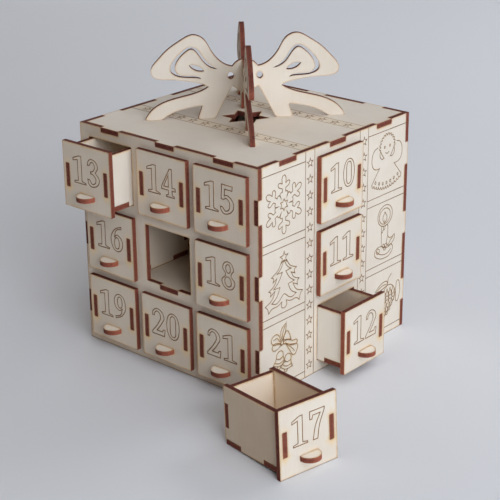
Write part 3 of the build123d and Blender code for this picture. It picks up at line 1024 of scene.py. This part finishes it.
class CALENDAR_OT_engrave_borders(bpy.types.Operator):
    """Engraves the star bands of the lid and the side panels, and the pictures' frames"""

    bl_idname = "calendar.engrave_borders"
    bl_label = "Engrave borders"

    def execute(self, context):
        sizes = context.scene.calendar_engraving
        lid = star_band(2 * PANEL_END, sizes, False)
        engrave("lid_star_bands", lid, Matrix.Translation((0, 0, LID_TOP)), "box", context.scene)
        strokes = star_band(LID_TOP, sizes, True)
        pitch = frame_pitch(sizes)
        half = (pitch - sizes.frame_gap) / 2
        for row in (-1, 0, 1):
            middle = row * pitch - sizes.frame_drop
            for level in (middle - half, middle + half):
                for side in (-1, 1):
                    strokes.append(line(tip(side * sizes.band_outer, level), tip(side * PANEL_END, level)))
        for side, face in side_faces():
            engrave(f"{side}_borders", strokes, face, "box", context.scene, spread=BORDER_HAZE)
        return {"FINISHED"}


class CALENDAR_OT_engrave_pictures(bpy.types.Operator):
    """Engraves the six pictures on each side panel"""

    bl_idname = "calendar.engrave_pictures"
    bl_label = "Engrave pictures"

    def execute(self, context):
        sizes = context.scene.calendar_engraving
        column = (sizes.band_outer + PANEL_END) / 2
        for side, face in side_faces():
            for picture, across, row, spread in SIDE_PICTURES:
                fit = shift(across * column, row * frame_pitch(sizes) - sizes.frame_drop, scale=MM)
                strokes = moved(picture(), fit)
                engrave(f"{side}_{picture.__name__}", strokes, face, "box", context.scene,
                        spread=spread)
        return {"FINISHED"}


class CALENDAR_OT_set_stage(bpy.types.Operator):
    """Makes the plain floor, the soft light and the camera"""

    bl_idname = "calendar.set_stage"
    bl_label = "Set stage"

    def execute(self, context):
        stage = context.scene.calendar_stage
        self.make_floor(context, stage)
        self.make_light(context, stage)
        self.make_camera(context, stage)
        context.scene.view_settings.view_transform = "Standard"
        return {"FINISHED"}

    def make_floor(self, context, stage):
        """A wide pale floor."""
        mesh = bpy.data.meshes.new("floor")
        shaped = bmesh.new()
        bmesh.ops.create_grid(shaped, x_segments=1, y_segments=1, size=stage.floor_size)
        shaped.to_mesh(mesh)
        shaped.free()
        finish = Finish("pale_floor")
        cloud = finish.noise(finish.spot, FLOOR_SCALE, detail=3.0)
        tone = finish.blend(cloud * FLOOR_CLOUDS, stage.floor_tone, stage.floor_shade)
        finish.give(Base_Color=tone, Roughness=0.7 + cloud * 0.1, Specular_IOR_Level=MATT_SHINE)
        mesh.materials.append(finish.material)
        floor = bpy.data.objects.new("floor", mesh)
        context.scene.collection.objects.link(floor)

    def make_light(self, context, stage):
        """Large soft lamps, and a little even light from all round."""
        for name, (place, target, size) in LAMPS.items():
            lamp = bpy.data.lights.new(f"{name}_lamp", "AREA")
            lamp.shape = "SQUARE"
            lamp.size = size
            lamp.energy = getattr(stage, f"{name}_power")
            lamp.color = stage.lamp_tone
            holder = bpy.data.objects.new(f"{name}_lamp", lamp)
            holder.location = place
            aim = Vector(target) - holder.location
            holder.rotation_euler = aim.to_track_quat("-Z", "Y").to_euler()
            holder.visible_camera = False
            context.scene.collection.objects.link(holder)
        world = context.scene.world or bpy.data.worlds.new("room")
        context.scene.world = world
        world.use_nodes = True
        air = world.node_tree.nodes["Background"]
        air.inputs["Color"].default_value = stage.air
        air.inputs["Strength"].default_value = stage.air_strength

    def make_camera(self, context, stage):
        """The camera at the viewing angle."""
        lens = bpy.data.cameras.new("eye")
        lens.lens = stage.eye_lens
        lens.sensor_width = SENSOR_WIDTH
        eye = bpy.data.objects.new("eye", lens)
        tilt = math.pi / 2 - stage.eye_drop
        turn = Matrix.Rotation(stage.eye_turn, 4, "Z") @ Matrix.Rotation(tilt, 4, "X")
        eye.matrix_world = (Matrix.Translation(stage.eye_place) @ turn
                            @ Matrix.Rotation(stage.eye_roll, 4, "Z"))
        context.scene.collection.objects.link(eye)
        context.scene.camera = eye


STEPS = [CALENDAR_OT_set_stage, CALENDAR_OT_finish_box, CALENDAR_OT_finish_drawers,
         CALENDAR_OT_engrave_numbers, CALENDAR_OT_engrave_borders, CALENDAR_OT_engrave_pictures]


class CALENDAR_PT_steps(bpy.types.Panel):
    """Lists the calendar's steps and settings"""

    bl_idname = "CALENDAR_PT_steps"
    bl_label = "Advent calendar"
    bl_space_type = "VIEW_3D"
    bl_region_type = "UI"
    bl_category = "Calendar"

    def draw(self, context):
        for step in STEPS:
            self.layout.operator(step.bl_idname)
        for group in SETTINGS:
            settings = getattr(context.scene, group)
            box = self.layout.box()
            for name in settings.__annotations__:
                box.prop(settings, name)


SETTINGS = {"calendar_engraving": CalendarEngraving, "calendar_wood": CalendarWood,
            "calendar_stage": CalendarStage}


def register():
    """Registers the settings, the steps and the panel."""
    for name, group in SETTINGS.items():
        bpy.utils.register_class(group)
        setattr(bpy.types.Scene, name, PointerProperty(type=group))
    for step in STEPS:
        bpy.utils.register_class(step)
    bpy.utils.register_class(CALENDAR_PT_steps)


def unregister():
    """Takes everything that register made away again."""
    bpy.utils.unregister_class(CALENDAR_PT_steps)
    for step in reversed(STEPS):
        bpy.utils.unregister_class(step)
    for name, group in SETTINGS.items():
        delattr(bpy.types.Scene, name)
        bpy.utils.unregister_class(group)


def main():
    """Runs every step."""
    register()
    bpy.ops.calendar.set_stage()
    bpy.ops.calendar.finish_box()
    bpy.ops.calendar.finish_drawers()
    bpy.ops.calendar.engrave_numbers()
    bpy.ops.calendar.engrave_borders()
    bpy.ops.calendar.engrave_pictures()
    bpy.context.view_layer.update()


if __name__ == "__main__":
    main()
